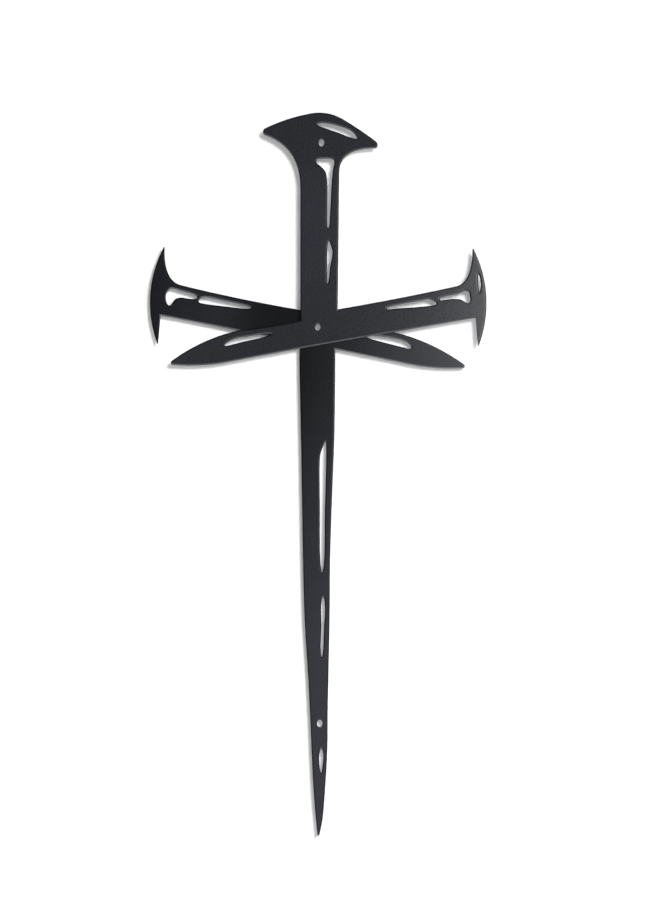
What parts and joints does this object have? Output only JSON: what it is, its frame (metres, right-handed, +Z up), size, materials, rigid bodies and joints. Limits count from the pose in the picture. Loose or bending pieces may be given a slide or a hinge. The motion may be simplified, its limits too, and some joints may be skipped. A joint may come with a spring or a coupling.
{
  "type": "metal wall cross",
  "caption": "Flat wall cross in the form of crossed hand-forged nails, cut from sheet steel in overlapping layers with slender slots and screw holes, coated satin black.",
  "frame": {"origin": "on the flat back face that lies against the wall, at the point where the axes of the nails cross", "axes": "+X to the viewer's right, +Y back into the wall, out of the back face, +Z up along the upright nail"},
  "size_m": [0.2808, 0.0067, 0.6107],
  "materials": {
    "black_coat": "satin black powder coat on steel sheet"
  },
  "bodies": {
    "root": {"back_plate": "black_coat", "front_plate": "black_coat"}
  },
  "joints": []
}
